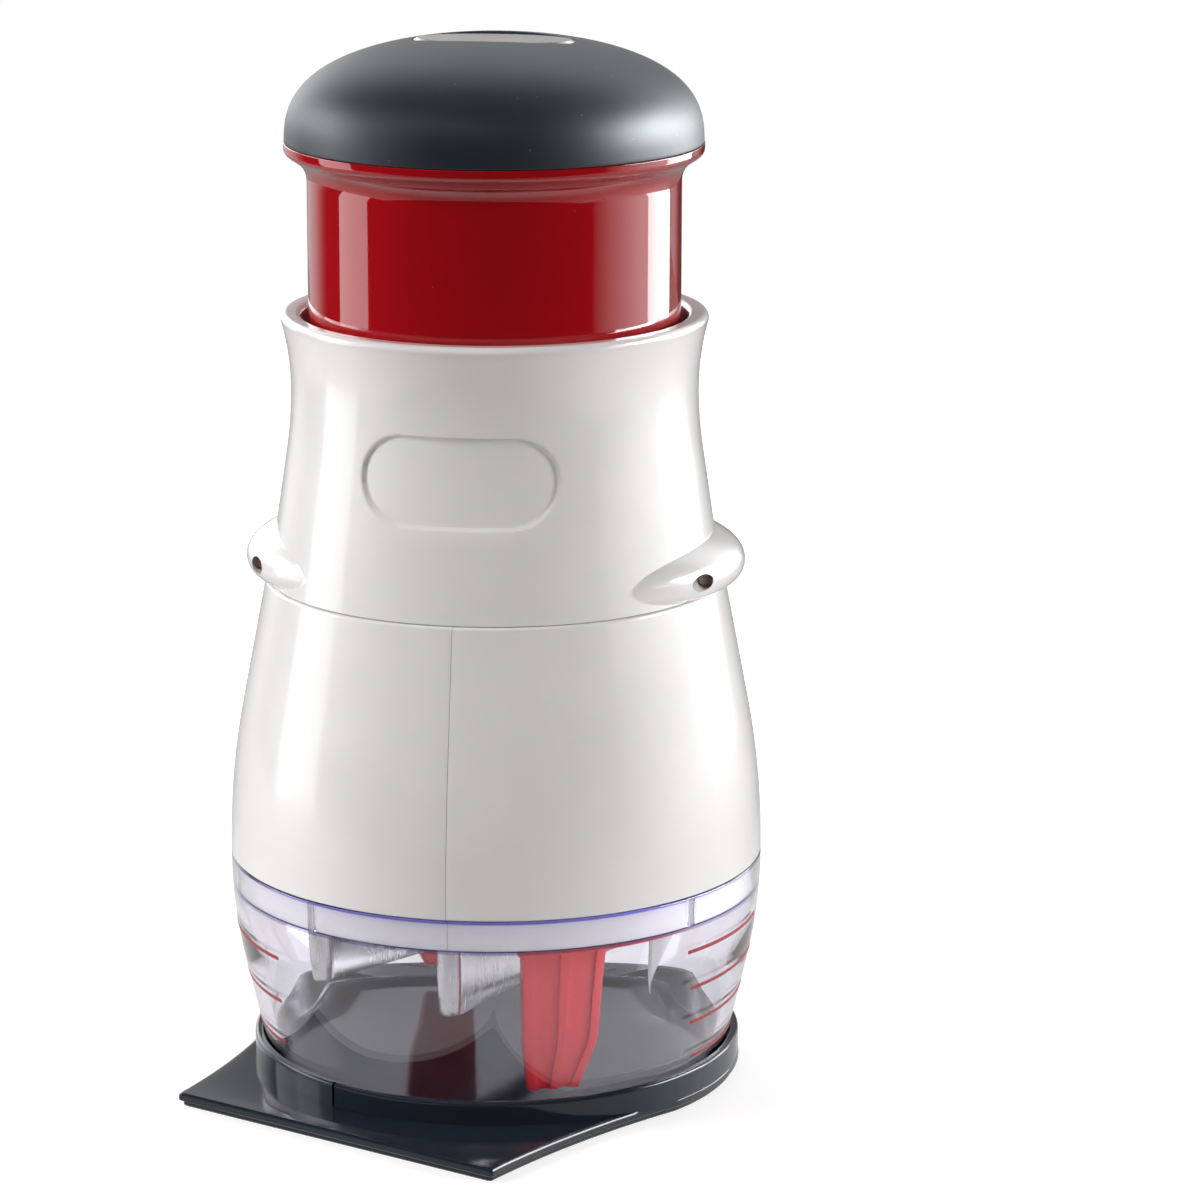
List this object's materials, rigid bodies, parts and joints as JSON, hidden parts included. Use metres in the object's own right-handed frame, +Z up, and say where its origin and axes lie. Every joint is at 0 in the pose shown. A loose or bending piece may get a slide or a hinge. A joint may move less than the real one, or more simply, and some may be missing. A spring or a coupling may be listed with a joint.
{
  "type": "plunger food chopper",
  "caption": "Hand food chopper: a palm knob on a sprung red sleeve drives a turning zigzag blade down into a clear cup on a spouted base; white waisted housing with two hinged half shells.",
  "frame": {"origin": "on the plunger's axis, at the underside of the base plate", "axes": "+Z up along the plunger's axis to the knob, -Y to the front with the sunk oval, +X to the right"},
  "size_m": [0.1163, 0.1294, 0.2151],
  "materials": {
    "dark_gloss": "glossy moulded",
    "clear_plastic": "clear, polished",
    "white_gloss": "glossy moulded",
    "red_gloss": "glossy moulded",
    "soft_grip": "soft-touch, matte",
    "dark_core": "moulded",
    "grey_plastic": "moulded acetal",
    "carrier_plastic": "moulded",
    "steel": "turned",
    "spring_steel": "drawn wire",
    "blade_steel": "rolled strip with a ground edge",
    "badge_steel": "brushed, bare"
  },
  "bodies": {
    "base": {"base_plate": "dark_gloss"},
    "cup": {"clear_cup": "clear_plastic"},
    "housing": {"collar": "white_gloss", "left_half_shell": "white_gloss", "right_half_shell": "white_gloss", "left_hinge_pin": "steel", "right_hinge_pin": "steel", "stop_ring": "grey_plastic", "drive_nut": "grey_plastic", "pawl_ring": "grey_plastic", "nut_clip": "steel", "spring_seat": "steel", "return_spring": "spring_steel"},
    "plunger": {"plunger_tube": "red_gloss", "knob_core": "dark_core", "knob_grip": "soft_grip", "knob_badge": "badge_steel", "knob_screws": "steel", "spindle": "steel", "thrust_washer": "grey_plastic", "spindle_washer": "steel", "spindle_screw": "steel"},
    "blade_unit": {"blade_carrier": "carrier_plastic", "zigzag_blade": "blade_steel", "blade_rivets": "steel"},
    "wiper": {"stripper": "red_gloss"}
  },
  "joints": [
    {"name": "cup_lift", "type": "slide", "parent": "base", "child": "cup", "axis": [0, 0, 1], "range_m": [0, 0.02]},
    {"name": "housing_lift", "type": "slide", "parent": "cup", "child": "housing", "axis": [0, 0, 1], "range_m": [0, 0.045]},
    {"name": "plunger_press", "type": "slide", "parent": "housing", "child": "plunger", "axis": [0, 0, -1], "range_m": [0, 0.02], "stiffness_N_per_m": 500, "springref_m": -0.01, "deforming": ["return_spring"]},
    {"name": "blade_turn", "type": "hinge", "parent": "plunger", "child": "blade_unit", "pos_m": [0, 0, 0.08], "axis": [0, 0, 1], "range_deg": [0, 45.5]},
    {"name": "wiper_turn", "type": "hinge", "parent": "housing", "child": "wiper", "pos_m": [0, 0, 0.045], "axis": [0, 0, 1], "range_deg": [0, 45.5]}
  ],
  "couplings": [
    {"joint": "blade_turn", "follows": "plunger_press", "rad_per_m": 39.27},
    {"joint": "wiper_turn", "follows": "plunger_press", "rad_per_m": 39.27}
  ]
}
